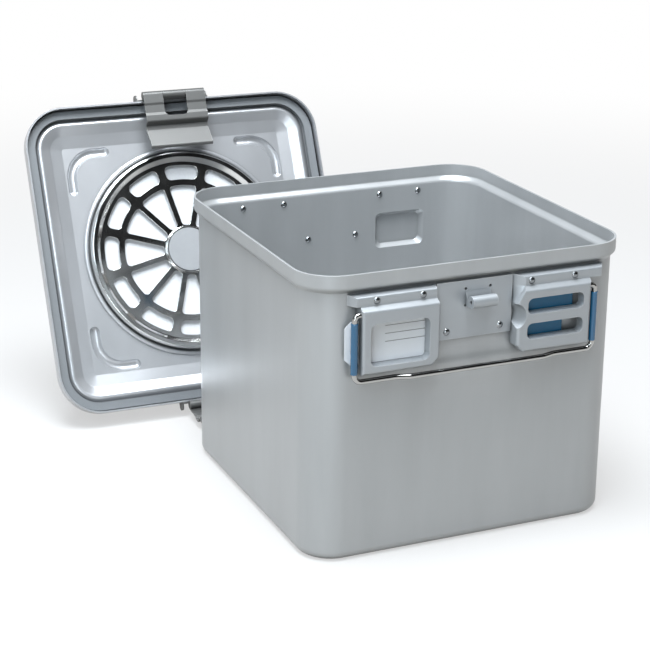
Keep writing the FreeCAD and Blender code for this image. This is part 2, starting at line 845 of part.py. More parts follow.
def build_retainer():
    """The polished retainer: rolled outer bead, pierced plate and raised hub."""
    t = retainer_sheet
    hole = stud_radius + hub_play
    foot = -panel_depth + slide_gap + 1.6
    outer = [(retainer_radius, foot), (retainer_radius - 1, -bead_top - 1.8),
             (bead_crest + 2, -bead_top), (bead_crest - 2, -bead_top),
             (bead_inner, -plate_depth + t)]
    hub = [(hub_radius + 0.5, -plate_depth + t), (hub_radius, -hub_top),
           (hub_radius - t, -hub_top), (hub_radius - t, -plate_depth + t),
           (hole, -plate_depth + t), (hole, -plate_depth),
           (bead_inner + 0.4, -plate_depth)]
    under = [(bead_crest - 1.6, -bead_top - t), (bead_crest + 1.6, -bead_top - t),
             (retainer_radius - 1 - t, -bead_top - 2.2), (retainer_radius - t, foot)]
    plate = revolved(outer + hub + under)
    windows = []
    for k in range(spoke_count):
        angle = 360.0 * k / spoke_count - spoke_turn
        windows.append(ring_window(petal_inner, petal_outer, spoke_width, petal_corner, angle))
        windows.append(ring_window(slot_inner, slot_outer, web_width, ring_corner, angle))
    return plate.cut(windows)


def build_retainer_seal():
    """The soft ring that seals the retainer on the lid."""
    low = -panel_depth + slide_gap
    top = -bead_top - retainer_sheet
    return revolved([(retainer_seal_inner, low), (retainer_seal_outer, low),
                     (retainer_seal_outer, top - 2.3), (bead_crest + 1.4, top),
                     (bead_crest - 1.4, top), (retainer_seal_inner, top - 2.3)])


def build_release_button():
    """The press button in the hub that frees the retainer from the stud."""
    radius = hub_radius - retainer_sheet - button_gap
    low = -plate_depth + retainer_sheet + button_travel
    return revolved([(0, -button_top), (radius - 0.8, -button_top), (radius, -button_top - 0.8),
                     (radius, low), (radius - button_wall, low),
                     (radius - button_wall, -button_top - button_wall),
                     (0, -button_top - button_wall)])


# The latches and their hinges, made for the lid's upper edge

def latch_rivet_places():
    """Where a hinge plate's two rivets stand along the lid's edge."""
    return [latch_shift + side * latch_rivet_spacing / 2 for side in (-1, 1)]


def at_edge(shape, lower):
    """Puts a fitting made for the upper edge on the lid's upper or lower edge."""
    placed = shape.copy()
    if lower:
        placed = placed.mirror(V(0, 0, 0), V(0, 1, 0))
    return in_lid(placed)


def hinge_ear(side):
    """The turned up end of a hinge plate, with one round corner."""
    left = latch_shift + side * (hinge_half_width - latch_sheet / 2) - latch_sheet / 2
    ear = cuboid((left, lid_half_y, -hinge_depth),
                 (left + latch_sheet, lid_half_y + ear_height, -ear_front))
    return ear.makeFillet(ear_round, [edge for edge in ear.Edges
                                      if edge.BoundBox.YMin > lid_half_y + ear_height - 0.01
                                      and edge.BoundBox.XLength > latch_sheet / 2])


def build_hinge_plate():
    """The plate riveted to the skirt, rolled into the hinge's middle knuckle."""
    plate = cuboid((latch_shift - hinge_half_width, lid_half_y, -hinge_depth),
                   (latch_shift + hinge_half_width, lid_half_y + latch_sheet, 0))
    left = latch_shift - knuckle_half_width
    width = 2 * knuckle_half_width
    neck = cuboid((left, lid_half_y, -1), (left + width, lid_half_y + latch_sheet, hinge_rise))
    roll = Part.makeCylinder(knuckle_radius, width, V(left, hinge_reach, hinge_rise), V(1, 0, 0))
    bore = Part.makeCylinder(pin_radius + running_play, width,
                             V(left, hinge_reach, hinge_rise), V(1, 0, 0))
    holes = [Part.makeCylinder(rivet_shank + rivet_play, 3 * latch_sheet,
                               V(x, lid_half_y - latch_sheet, -latch_rivet_depth), V(0, 1, 0))
             for x in latch_rivet_places()]
    ears = [hinge_ear(side) for side in (-1, 1)]
    return plate.fuse([neck, roll] + ears).cut([bore] + holes).removeSplitter()


def build_hinge_pin():
    """The pin through the latch's and the plate's knuckles."""
    length = 2 * latch_half_width
    return Part.makeCylinder(pin_radius, length,
                             V(latch_shift - latch_half_width, hinge_reach, hinge_rise),
                             V(1, 0, 0))


def build_lid_rivets():
    """The four rivets that hold the two hinge plates to the skirt."""
    rivets = []
    low = lid_half_y - lid_sheet
    for x in latch_rivet_places():
        shank = Part.makeCylinder(rivet_shank, lid_sheet + latch_sheet,
                                  V(x, low, -latch_rivet_depth), V(0, 1, 0))
        head = dome(rivet_head, rivet_head_height)
        head.rotate(V(0, 0, 0), V(1, 0, 0), -90)
        head.translate(V(x, lid_half_y + latch_sheet, -latch_rivet_depth))
        tail = Part.makeCylinder(rivet_head, 0.6, V(x, low - 0.6, -latch_rivet_depth),
                                 V(0, 1, 0))
        rivets.append(shank.fuse([head, tail]))
    return group([at_edge(rivet, lower) for lower in (False, True) for rivet in rivets])


def latch_section():
    """The closed latch's section: (out, along) points of its outer face from the hinge on."""
    step = knuckle_radius - 0.9
    full = knuckle_radius + 0.25
    points = [(knuckle_radius, 0), (knuckle_radius, 8.5), (step, 10.5), (step, 18),
              (full, 20.5), (full, 27), (-rib_in, 30), (-rib_in, lip_start),
              (latch_flare, latch_length)]
    run = lip_run()
    return points + [(latch_flare - run.z * latch_hem, latch_length + run.x * latch_hem)]


def lip_run():
    """The way the latch's lip runs, from the rib to its end."""
    return V(latch_flare + rib_in, 0, latch_length - lip_start).normalize()


def lip_bend():
    """The middle and radius of the bend at the lip's end, where the sheet turns back."""
    run = lip_run()
    radius = latch_bend + latch_sheet
    back = V(-run.x - run.z, 0, run.x - run.z) * radius
    return V(latch_flare, 0, latch_length) + back, radius


def lip_reach():
    """How far from its hinge the latch's lip reaches, at its bend or at its hem's end."""
    middle, radius = lip_bend()
    out, along = latch_section()[-1]
    return max(middle.Length + radius, math.hypot(out, along))


def build_latch():
    """A stainless over-centre latch, closed: hinge at the origin, plate along +z."""
    left = -latch_half_width
    width = 2 * latch_half_width
    outer = latch_section()
    section = bent_sheet(outer, [latch_bend] * (len(outer) - 2), latch_sheet)
    section.rotate(V(0, 0, 0), V(0, 0, 1), 90)
    section.translate(V(left, 0, 0))
    plate = section.extrude(V(width, 0, 0))
    roll = Part.makeCylinder(knuckle_radius, width, V(left, 0, 0), V(1, 0, 0))
    plate = plate.fuse(roll)
    bore = Part.makeCylinder(pin_radius + running_play, width, V(left, 0, 0), V(1, 0, 0))
    half = knuckle_half_width + knuckle_gap
    clear = cuboid((-half, -8, -8), (half, 8, 4))
    window = rounded_block(latch_window_half, 20, latch_window_corner, -8, 8)
    window.rotate(V(0, 0, 0), V(1, 0, 0), 90)
    window.translate(V(0, 0, latch_window_end - 20))
    return plate.cut([bore, clear, window]).removeSplitter()


def lower_latch_angle():
    """How far the lower latch opens, from closed, until its lip stands on the ground."""
    middle, radius = lip_bend()
    lip = math.radians(lid_lean) - math.atan2(middle.x, middle.z)
    drop = lid_foot_height - ground_gap - radius
    return math.degrees(lip + math.asin(drop / middle.Length))


def place_latch(shape, lower):
    """Hangs a latch on its pin: the upper one folded over the lid's inside, the lower open."""
    placed = shape.copy()
    placed.rotate(V(0, 0, 0), V(1, 0, 0), -lower_latch_angle() if lower else 90)
    placed.translate(V(latch_shift, hinge_reach, hinge_rise))
    return at_edge(placed, lower)


# All nodes

def build_nodes():
    """Every piece of the container by name, in place."""
    nodes = {"tub": build_tub()}
    fittings = {"catch_plate": build_catch_plate(), "label_bracket": build_label_bracket(),
                "slot_bracket": build_slot_bracket(), "spacers": build_spacers(),
                "bracket_rivets": build_bracket_rivets(), "plate_rivets": build_plate_rivets(),
                "bail": build_bail(), "bail_sleeves": build_sleeves()}
    for name, shape in fittings.items():
        nodes["front_" + name] = on_front(shape)
        nodes["back_" + name] = to_back(on_front(shape))
    nodes["label_card"] = on_front(build_card())
    nodes["lower_tag"] = on_front(build_tag(lower_tag_length, slot_levels[0]))
    nodes["upper_tag"] = on_front(build_tag(upper_tag_length, slot_levels[1]))
    lid = {"lid_pan": build_lid_pan(), "lid_seal": build_lid_seal(),
           "vent_filter": build_vent_filter(), "vent_stud": build_vent_stud(),
           "retainer_plate": build_retainer(), "retainer_seal": build_retainer_seal(),
           "release_button": build_release_button()}
    for name, shape in lid.items():
        nodes[name] = in_lid(shape)
    latch = build_latch()
    for lower, edge in ((False, "upper"), (True, "lower")):
        nodes[edge + "_hinge_plate"] = at_edge(build_hinge_plate(), lower)
        nodes[edge + "_hinge_pin"] = at_edge(build_hinge_pin(), lower)
        nodes[edge + "_latch"] = place_latch(latch, lower)
    nodes["lid_rivets"] = build_lid_rivets()
    return nodes


os.makedirs("parts", exist_ok=True)
for node, shape in build_nodes().items():
    shape.exportStep("parts/" + node + ".step")
    print(node, len(shape.Solids), "solids", round(shape.Volume), "mm3", shape.isValid())
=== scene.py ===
import bmesh
import bpy
import json
import math
from mathutils import Matrix, Vector

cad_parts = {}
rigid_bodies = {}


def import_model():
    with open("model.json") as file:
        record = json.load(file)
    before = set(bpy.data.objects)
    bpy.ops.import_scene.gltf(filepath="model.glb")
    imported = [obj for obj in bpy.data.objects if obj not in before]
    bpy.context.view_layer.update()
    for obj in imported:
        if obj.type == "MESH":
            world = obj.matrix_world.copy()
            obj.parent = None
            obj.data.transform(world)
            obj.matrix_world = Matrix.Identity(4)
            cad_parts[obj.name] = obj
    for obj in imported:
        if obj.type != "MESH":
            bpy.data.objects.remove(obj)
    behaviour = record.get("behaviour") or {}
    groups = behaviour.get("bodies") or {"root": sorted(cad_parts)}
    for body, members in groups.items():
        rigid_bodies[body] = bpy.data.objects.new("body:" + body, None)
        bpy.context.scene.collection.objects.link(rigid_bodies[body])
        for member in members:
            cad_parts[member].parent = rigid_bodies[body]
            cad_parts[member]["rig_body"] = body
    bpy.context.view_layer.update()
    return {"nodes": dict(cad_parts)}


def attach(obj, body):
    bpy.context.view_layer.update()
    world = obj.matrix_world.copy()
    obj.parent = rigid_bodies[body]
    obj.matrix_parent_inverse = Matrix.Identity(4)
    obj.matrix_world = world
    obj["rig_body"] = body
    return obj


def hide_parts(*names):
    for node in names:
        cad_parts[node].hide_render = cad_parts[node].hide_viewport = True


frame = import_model()


# The box: one deep drawn shell of aluminium, 1.8 mm thick, with a stepped rim. It is satin
# anodised, so it is grey and even, with a fine grain, faint drawing lines up its walls and a
# little brightness where hands and trays rub its edges.

weld_distance = 2e-6
flat_angle = 0.05
fold_angle = 28.0


def finished(node, width, angle=fold_angle, segments=2):
    """A copy of a CAD piece with its doubles merged, its flat faces joined and its edges rounded
    to the width. It rides the piece's body and takes the piece's place."""
    source = frame["nodes"][node]
    mesh = source.data.copy()
    mesh.name = node + "_finished"
    mesh.materials.clear()
    for layer in ("custom_normal", "sharp_edge", "sharp_face"):
        if layer in mesh.attributes:
            mesh.attributes.remove(mesh.attributes[layer])
    work = bmesh.new()
    work.from_mesh(mesh)
    bmesh.ops.remove_doubles(work, verts=work.verts, dist=weld_distance)
    bmesh.ops.dissolve_limit(work, angle_limit=math.radians(flat_angle), verts=work.verts,
                             edges=work.edges)
    work.to_mesh(mesh)
    work.free()
    mesh.shade_smooth()
    mesh.set_sharp_from_angle(angle=math.radians(angle))
    piece = bpy.data.objects.new(node + "_finished", mesh)
    bpy.context.scene.collection.objects.link(piece)
    if width:
        bevel = piece.modifiers.new("Rounded edges", "BEVEL")
        bevel.width = width
        bevel.segments = segments
        bevel.limit_method = "ANGLE"
        bevel.angle_limit = math.radians(angle)
        bevel.use_clamp_overlap = True
        bevel.face_strength_mode = "FSTR_AFFECTED"
    even = piece.modifiers.new("Even normals", "WEIGHTED_NORMAL")
    even.keep_sharp = True
    even.use_face_influence = bool(width)
    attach(piece, source["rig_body"])
    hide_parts(node)
    return piece


def new_group(name, inputs, outputs):
    """An empty shader group with named sockets, and its two end nodes."""
    group = bpy.data.node_groups.new(name, "ShaderNodeTree")
    for label, kind, value in inputs:
        socket = group.interface.new_socket(label, in_out="INPUT", socket_type=kind)
        socket.default_value = value
    for label, kind in outputs:
        group.interface.new_socket(label, in_out="OUTPUT", socket_type=kind)
    return group, group.nodes.new("NodeGroupInput"), group.nodes.new("NodeGroupOutput")


def add_node(tree, kind, values=(), **settings):
    """A new node with its settings and the start values of its sockets."""
    node = tree.nodes.new(kind)
    for label, value in settings.items():
        setattr(node, label, value)
    for label, value in dict(values).items():
        node.inputs[label].default_value = value
    return node


def surface_grain():
    """Grain of a metal face: fine and slow noise on the object's own coordinates, each drawn out
    by its spread. Roughness is the middle value plus both noises' swing about their mean. The
    fine noise is also a height for a bump, and the slow one a cloud for the tint."""
    group, start, end = new_group(
        "Surface grain",
        [("Spread", "NodeSocketVector", (900, 900, 900)),
         ("Middle", "NodeSocketFloat", 0.35), ("Swing", "NodeSocketFloat", 0.08),
         ("Cloud spread", "NodeSocketVector", (14, 14, 14)),
         ("Cloud swing", "NodeSocketFloat", 0.05)],
        [("Roughness", "NodeSocketFloat"), ("Height", "NodeSocketFloat"),
         ("Cloud", "NodeSocketFloat")])
    link = group.links.new
    place = add_node(group, "ShaderNodeTexCoord")
    spread = add_node(group, "ShaderNodeVectorMath", operation="MULTIPLY")
    fine = add_node(group, "ShaderNodeTexNoise", {"Scale": 1.0, "Detail": 3.0, "Roughness": 0.6})
    wide = add_node(group, "ShaderNodeVectorMath", operation="MULTIPLY")
    cloud = add_node(group, "ShaderNodeTexNoise",
                     {"Scale": 1.0, "Detail": 4.0, "Roughness": 0.55})
    fine_part = add_node(group, "ShaderNodeMath", {1: 0.5}, operation="SUBTRACT")
    cloud_part = add_node(group, "ShaderNodeMath", {1: 0.5}, operation="SUBTRACT")
    first = add_node(group, "ShaderNodeMath", operation="MULTIPLY_ADD")
    second = add_node(group, "ShaderNodeMath", operation="MULTIPLY_ADD")
    link(place.outputs["Object"], spread.inputs[0])
    link(start.outputs["Spread"], spread.inputs[1])
    link(spread.outputs[0], fine.inputs["Vector"])
    link(place.outputs["Object"], wide.inputs[0])
    link(start.outputs["Cloud spread"], wide.inputs[1])
    link(wide.outputs[0], cloud.inputs["Vector"])
    link(fine.outputs[0], fine_part.inputs[0])
    link(cloud.outputs[0], cloud_part.inputs[0])
    link(fine_part.outputs[0], first.inputs[0])
    link(start.outputs["Swing"], first.inputs[1])
    link(start.outputs["Middle"], first.inputs[2])
    link(cloud_part.outputs[0], second.inputs[0])
    link(start.outputs["Cloud swing"], second.inputs[1])
    link(first.outputs[0], second.inputs[2])
    link(second.outputs[0], end.inputs["Roughness"])
    link(fine.outputs[0], end.inputs["Height"])
    link(cloud.outputs[0], end.inputs["Cloud"])
    return group


wear_reach = 0.0011
wear_starts, wear_full = 0.92, 0.55
patch_low, patch_high = 0.38, 0.62


def edge_wear():
    """Rubbed edges: within a millimetre of a convex edge the metal takes the worn colour. The
    mask is how thin the metal is there, times noise patches, times the amount."""
    group, start, end = new_group(
        "Edge wear",
        [("Colour", "NodeSocketColor", (0.5, 0.5, 0.5, 1)),
         ("Worn colour", "NodeSocketColor", (0.8, 0.8, 0.8, 1)),
         ("Amount", "NodeSocketFloat", 0.5), ("Patch size", "NodeSocketFloat", 90.0)],
        [("Colour", "NodeSocketColor"), ("Mask", "NodeSocketFloat")])
    link = group.links.new
    shape = add_node(group, "ShaderNodeAmbientOcclusion", {"Distance": wear_reach}, samples=5,
                     inside=True)
    convex = add_node(group, "ShaderNodeMapRange",
                      {"From Min": wear_starts, "From Max": wear_full})
    place = add_node(group, "ShaderNodeTexCoord")
    patch = add_node(group, "ShaderNodeTexNoise", {"Detail": 5.0, "Roughness": 0.7})
    broken = add_node(group, "ShaderNodeMapRange",
                      {"From Min": patch_low, "From Max": patch_high})
    both = add_node(group, "ShaderNodeMath", operation="MULTIPLY")
    mask = add_node(group, "ShaderNodeMath", operation="MULTIPLY", use_clamp=True)
    mix = add_node(group, "ShaderNodeMix", data_type="RGBA")
    link(shape.outputs["AO"], convex.inputs["Value"])
    link(place.outputs["Object"], patch.inputs["Vector"])
    link(start.outputs["Patch size"], patch.inputs["Scale"])
    link(patch.outputs[0], broken.inputs["Value"])
    link(convex.outputs[0], both.inputs[0])
    link(broken.outputs[0], both.inputs[1])
    link(both.outputs[0], mask.inputs[0])
    link(start.outputs["Amount"], mask.inputs[1])
    link(mask.outputs[0], mix.inputs["Factor"])
    link(start.outputs["Colour"], mix.inputs["A"])
    link(start.outputs["Worn colour"], mix.inputs["B"])
    link(mix.outputs["Result"], end.inputs["Colour"])
    link(mask.outputs[0], end.inputs["Mask"])
    return group


grain_group = surface_grain()
wear_group = edge_wear()


def new_material(name, **values):
    """A material whose shader has the values given, with its tree and shader."""
    material = bpy.data.materials.new(name)
    material.use_nodes = True
    shader = material.node_tree.nodes["Principled BSDF"]
    for label, value in values.items():
        shader.inputs[label.replace("_", " ")].default_value = value
    return material, material.node_tree, shader


# The painted crease shade: how far it reaches, the occlusion range it maps and its darkest value.
crease_reach = 0.005
crease_deep, crease_open = 0.35, 0.95
crease_shade = 0.35
worn_gloss = -0.10
grain_height = 0.0005


def metal(name, colour, worn, grain, wear=0.5, bump=0.02, cloud_tint=0.06, metallic=1.0):
    """A metal finish: grain and clouds in its gloss, a little tint in its colour, painted shade
    in its creases and joins, and rubbed edges. Colour is the plain one times the cloud's tint
    times the painted crease shade, then mixed with the worn one by the wear mask."""
    material, tree, shader = new_material(name, Metallic=metallic)
    link = tree.links.new
    face = add_node(tree, "ShaderNodeGroup", node_tree=grain_group)
    for label, value in grain.items():
        face.inputs[label].default_value = value
    tint = add_node(tree, "ShaderNodeMapRange",
                    {"From Min": 0.3, "From Max": 0.7, "To Min": 1 - cloud_tint,
                     "To Max": 1 + cloud_tint})
    shade = add_node(tree, "ShaderNodeVectorMath", {0: colour[:3]}, operation="SCALE")
    worn_edge = add_node(tree, "ShaderNodeGroup", node_tree=wear_group)
    worn_edge.inputs["Worn colour"].default_value = worn
    worn_edge.inputs["Amount"].default_value = wear
    rub = add_node(tree, "ShaderNodeMath", {1: worn_gloss}, operation="MULTIPLY_ADD")
    relief = add_node(tree, "ShaderNodeBump", {"Strength": bump, "Distance": grain_height})
    # Painted shade: ambient occlusion darkens the colour in creases and where parts meet.
    crease = add_node(tree, "ShaderNodeAmbientOcclusion", {"Distance": crease_reach}, samples=6)
    painted_crease_shade = add_node(tree, "ShaderNodeMapRange",
                     {"From Min": crease_deep, "From Max": crease_open, "To Min": crease_shade})
    tone_and_crease_shade = add_node(tree, "ShaderNodeMath", operation="MULTIPLY")
    link(face.outputs["Cloud"], tint.inputs["Value"])
    link(crease.outputs["AO"], painted_crease_shade.inputs["Value"])
    link(painted_crease_shade.outputs[0], tone_and_crease_shade.inputs[0])
    link(tint.outputs[0], tone_and_crease_shade.inputs[1])
    link(tone_and_crease_shade.outputs[0], shade.inputs["Scale"])
    link(shade.outputs[0], worn_edge.inputs["Colour"])
    link(worn_edge.outputs["Colour"], shader.inputs["Base Color"])
    link(worn_edge.outputs["Mask"], rub.inputs[0])
    link(face.outputs["Roughness"], rub.inputs[2])
    link(rub.outputs[0], shader.inputs["Roughness"])
    link(face.outputs["Height"], relief.inputs["Height"])
    link(relief.outputs[0], shader.inputs["Normal"])
    return material


box_colour = (0.42, 0.43, 0.438, 1)
box_worn = (0.58, 0.59, 0.60, 1)
box_finish = metal("Box aluminium", box_colour, box_worn,
                   {"Spread": (1500, 1500, 90), "Middle": 0.36, "Swing": 0.05,
                    "Cloud spread": (34, 34, 5), "Cloud swing": 0.10}, wear=0.3, bump=0.02,
                   cloud_tint=0.045, metallic=0.4)
box = finished("tub", width=0.0004)
box.data.materials.append(box_finish)


# The end fittings: pressed aluminium brackets and the catch plate between them, at both ends,
# made from 1.5 and 2 mm sheet with the same anodised finish, a touch brighter where they bend.

fitting_colour = (0.38, 0.40, 0.42, 1)
fitting_worn = (0.68, 0.69, 0.70, 1)
fitting_finish = metal("Fitting aluminium", fitting_colour, fitting_worn,
                       {"Spread": (500, 900, 900), "Middle": 0.38, "Swing": 0.04,
                        "Cloud spread": (16, 16, 16), "Cloud swing": 0.05}, wear=0.45, bump=0.012,
                       cloud_tint=0.03, metallic=0.5)
for end in ("front", "back"):
    for fitting in ("label_bracket", "slot_bracket", "catch_plate", "spacers"):
        piece = finished(end + "_" + fitting, width=0.0005, angle=20.0, segments=3)
        piece.data.materials.append(fitting_finish)


# The rivets: stainless steel, with low round heads that the setting tool leaves bright. They
# hold the brackets and catch plates to the box, and the hinge plates to the lid.

rivet_colour = (0.24, 0.25, 0.26, 1)
rivet_finish = metal("Rivet steel", rivet_colour, (0.8, 0.8, 0.8, 1),
                     {"Spread": (1200, 1200, 1200), "Middle": 0.22, "Swing": 0.06,
                      "Cloud spread": (60, 60, 60), "Cloud swing": 0.06}, wear=0.3)
for node in ("front_bracket_rivets", "back_bracket_rivets", "front_plate_rivets",
             "back_plate_rivets", "lid_rivets"):
    piece = finished(node, width=0.0)
    piece.data.materials.append(rivet_finish)


# The bails: 4.5 mm stainless wire, bent cold and polished bright, hung in the brackets by its
# turned-in ends. Each carries two sleeves of blue plastic where the fingers go.

wire_colour = (0.42, 0.415, 0.40, 1)
wire_finish = metal("Bail wire", wire_colour, (0.7, 0.7, 0.7, 1),
                    {"Spread": (500, 500, 500), "Middle": 0.12, "Swing": 0.03,
                     "Cloud spread": (30, 30, 30), "Cloud swing": 0.05}, wear=0.0, bump=0.01,
                    cloud_tint=0.02)
for end in ("front", "back"):
    piece = finished(end + "_bail", width=0.0)
    piece.data.materials.append(wire_finish)


gloss_swing = 0.05
mould_height = 0.0003


def plastic(name, colour, dark, roughness, coat=0.0, size=260.0, bump=0.06):
    """Moulded plastic: one fine noise mixes the dark colour with the plain one, swings the gloss
    about its middle and raises a low relief."""
    material, tree, shader = new_material(name, Coat_Weight=coat, Coat_Roughness=0.08,
                                          Specular_IOR_Level=0.5)
    link = tree.links.new
    place = add_node(tree, "ShaderNodeTexCoord")
    fine = add_node(tree, "ShaderNodeTexNoise", {"Scale": size, "Detail": 4.0})
    mix = add_node(tree, "ShaderNodeMix", data_type="RGBA")
    mix.inputs["A"].default_value = dark
    mix.inputs["B"].default_value = colour
    gloss = add_node(tree, "ShaderNodeMapRange",
                     {"To Min": roughness - gloss_swing, "To Max": roughness + gloss_swing})
    relief = add_node(tree, "ShaderNodeBump", {"Strength": bump, "Distance": mould_height})
    link(place.outputs["Object"], fine.inputs["Vector"])
    link(fine.outputs[0], mix.inputs["Factor"])
    link(mix.outputs["Result"], shader.inputs["Base Color"])
    link(fine.outputs[0], gloss.inputs["Value"])
    link(gloss.outputs[0], shader.inputs["Roughness"])
    link(fine.outputs[0], relief.inputs["Height"])
    link(relief.outputs[0], shader.inputs["Normal"])
    return material


sleeve_finish = plastic("Sleeve plastic", colour=(0.016, 0.115, 0.235, 1),
                        dark=(0.012, 0.095, 0.20, 1), roughness=0.22, coat=0.6)
for end in ("front", "back"):
    piece = finished(end + "_bail_sleeves", width=0.0002)
    piece.data.materials.append(sleeve_finish)


# The card and the coding tags: a coated card behind the left window, and two tags of satin
# blue plastic behind the slots. Each is loose in its bracket and slides out sideways.

card_finish = plastic("Card", colour=(0.80, 0.82, 0.86, 1), dark=(0.77, 0.79, 0.83, 1),
                      roughness=0.5, size=900.0, bump=0.02)


def rule_lines(material, first, pitch, count, thick, left, ink):
    """Ruled lines across a card: ink where the height over the first line is within half a
    line's thickness of an even number of pitches, between the first line and the last, and to
    the right of a margin."""
    tree = material.node_tree
    link = tree.links.new
    shader = tree.nodes["Principled BSDF"]
    ground = shader.inputs["Base Color"].links[0].from_socket
    place = add_node(tree, "ShaderNodeTexCoord")
    split = add_node(tree, "ShaderNodeSeparateXYZ")
    near = add_node(tree, "ShaderNodeMath", {1: pitch}, operation="PINGPONG")
    shift = add_node(tree, "ShaderNodeMath", {1: first}, operation="SUBTRACT")
    line = add_node(tree, "ShaderNodeMath", {1: thick / 2}, operation="LESS_THAN")
    above = add_node(tree, "ShaderNodeMath", {1: -thick}, operation="GREATER_THAN")
    below = add_node(tree, "ShaderNodeMath", {1: 2 * pitch * (count - 1) + thick},
                     operation="LESS_THAN")
    margin = add_node(tree, "ShaderNodeMath", {1: left}, operation="GREATER_THAN")
    mix = add_node(tree, "ShaderNodeMix", data_type="RGBA")
    mix.inputs["B"].default_value = ink
    link(place.outputs["Object"], split.inputs[0])
    link(split.outputs["Z"], shift.inputs[0])
    link(shift.outputs[0], near.inputs[0])
    link(near.outputs[0], line.inputs[0])
    link(shift.outputs[0], above.inputs[0])
    link(shift.outputs[0], below.inputs[0])
    link(split.outputs["X"], margin.inputs[0])
    mask = line.outputs[0]
    for part in (above, below, margin):
        both = add_node(tree, "ShaderNodeMath", operation="MULTIPLY")
        link(mask, both.inputs[0])
        link(part.outputs[0], both.inputs[1])
        mask = both.outputs[0]
    link(mask, mix.inputs["Factor"])
    link(ground, mix.inputs["A"])
    link(mix.outputs["Result"], shader.inputs["Base Color"])


rule_lines(card_finish, first=0.1866, pitch=0.0033, count=3, thick=0.0006, left=-0.0795,
           ink=(0.20, 0.20, 0.21, 1))
piece = finished("label_card", width=0.0)
piece.data.materials.append(card_finish)

tag_finish = plastic("Tag plastic", colour=(0.004, 0.125, 0.25, 1), dark=(0.003, 0.10, 0.21, 1),
                     roughness=0.34)
for node in ("upper_tag", "lower_tag"):
    piece = finished(node, width=0.0004)
    piece.data.materials.append(tag_finish)


# The lid: one pan of 1.5 mm aluminium, pressed with a channel for its seal, a crest round it,
# four stacking ribs and a round vent. It is brighter than the box and drawn along its width.

lid_colour = (0.52, 0.53, 0.55, 1)
lid_finish = metal("Lid aluminium", lid_colour, (0.78, 0.79, 0.80, 1),
                   {"Spread": (1300, 220, 220), "Middle": 0.34, "Swing": 0.04,
                    "Cloud spread": (24, 12, 12), "Cloud swing": 0.08}, wear=0.25, bump=0.015,
                   cloud_tint=0.04, metallic=0.72)
lid = finished("lid_pan", width=0.0004)
lid.data.materials.append(lid_finish)


# The seals: rings of grey silicone. One is pushed into the lid's channel, and the other is
# held round the vent by the retainer.

rubber_finish = plastic("Grey silicone", colour=(0.17, 0.18, 0.19, 1),
                        dark=(0.13, 0.14, 0.15, 1), roughness=0.55, size=700.0, bump=0.1)
for node in ("lid_seal", "retainer_seal"):
    piece = finished(node, width=0.0)
    piece.data.materials.append(rubber_finish)


# The vent filter: a disc of nonwoven paper, white and slightly fuzzy. It lies over the vent's
# holes under the retainer, and shows through its windows.

paper_finish = plastic("Filter paper", colour=(0.62, 0.63, 0.65, 1),
                       dark=(0.52, 0.53, 0.55, 1), roughness=0.9, size=500.0, bump=0.3)
piece = finished("vent_filter", width=0.0)
piece.data.materials.append(paper_finish)


# The retainer, its button and the stud: stainless steel. The retainer is one polished pressing
# that locks on the turned stud, and the button in its hub has a duller, satin face.

retainer_colour = (0.70, 0.70, 0.69, 1)
retainer_finish = metal("Polished retainer", retainer_colour, (0.8, 0.8, 0.8, 1),
                        {"Spread": (700, 700, 700), "Middle": 0.14, "Swing": 0.06,
                         "Cloud spread": (45, 45, 45), "Cloud swing": 0.14}, wear=0.0, bump=0.012,
                        cloud_tint=0.05)
for node in ("retainer_plate", "vent_stud"):
    piece = finished(node, width=0.0003, angle=35.0)
    piece.data.materials.append(retainer_finish)

button_finish = metal("Satin button", (0.33, 0.34, 0.355, 1), (0.48, 0.49, 0.50, 1),
                      {"Spread": (900, 900, 900), "Middle": 0.5, "Swing": 0.03,
                       "Cloud spread": (40, 40, 40), "Cloud swing": 0.04}, wear=0.2, bump=0.008,
                      cloud_tint=0.02, metallic=0.4)
piece = finished("release_button", width=0.0003, angle=35.0)
piece.data.materials.append(button_finish)


# The latches and their hinges: satin stainless sheet, 1.5 mm, bent and rolled round a pin. The
# hinge plates are riveted to the lid's edge.

latch_colour = (0.14, 0.14, 0.137, 1)
latch_finish = metal("Latch steel", latch_colour, (0.34, 0.34, 0.33, 1),
                     {"Spread": (160, 1100, 1100), "Middle": 0.44, "Swing": 0.04,
                      "Cloud spread": (30, 30, 30), "Cloud swing": 0.04}, wear=0.4, bump=0.01,
                     cloud_tint=0.02, metallic=0.6)
for edge in ("upper", "lower"):
    for fitting in ("latch", "hinge_plate", "hinge_pin"):
        piece = finished(edge + "_" + fitting, width=0.0003)
        piece.data.materials.append(latch_finish)


# The studio: a white floor that keeps the object's shadow, four soft lamps, and a world that
# is white at the horizon, dark overhead and lighter on the left for what mirrors it.

def eye_rays(tree):
    """A mask that is 1 for rays that show a picture: camera, mirror and transmission rays."""
    path = add_node(tree, "ShaderNodeLightPath")
    first = add_node(tree, "ShaderNodeMath", operation="ADD")
    both = add_node(tree, "ShaderNodeMath", operation="ADD", use_clamp=True)
    tree.links.new(path.outputs["Is Camera Ray"], first.inputs[0])
    tree.links.new(path.outputs["Is Glossy Ray"], first.inputs[1])
    tree.links.new(first.outputs[0], both.inputs[0])
    tree.links.new(path.outputs["Is Transmission Ray"], both.inputs[1])
    return both.outputs[0]


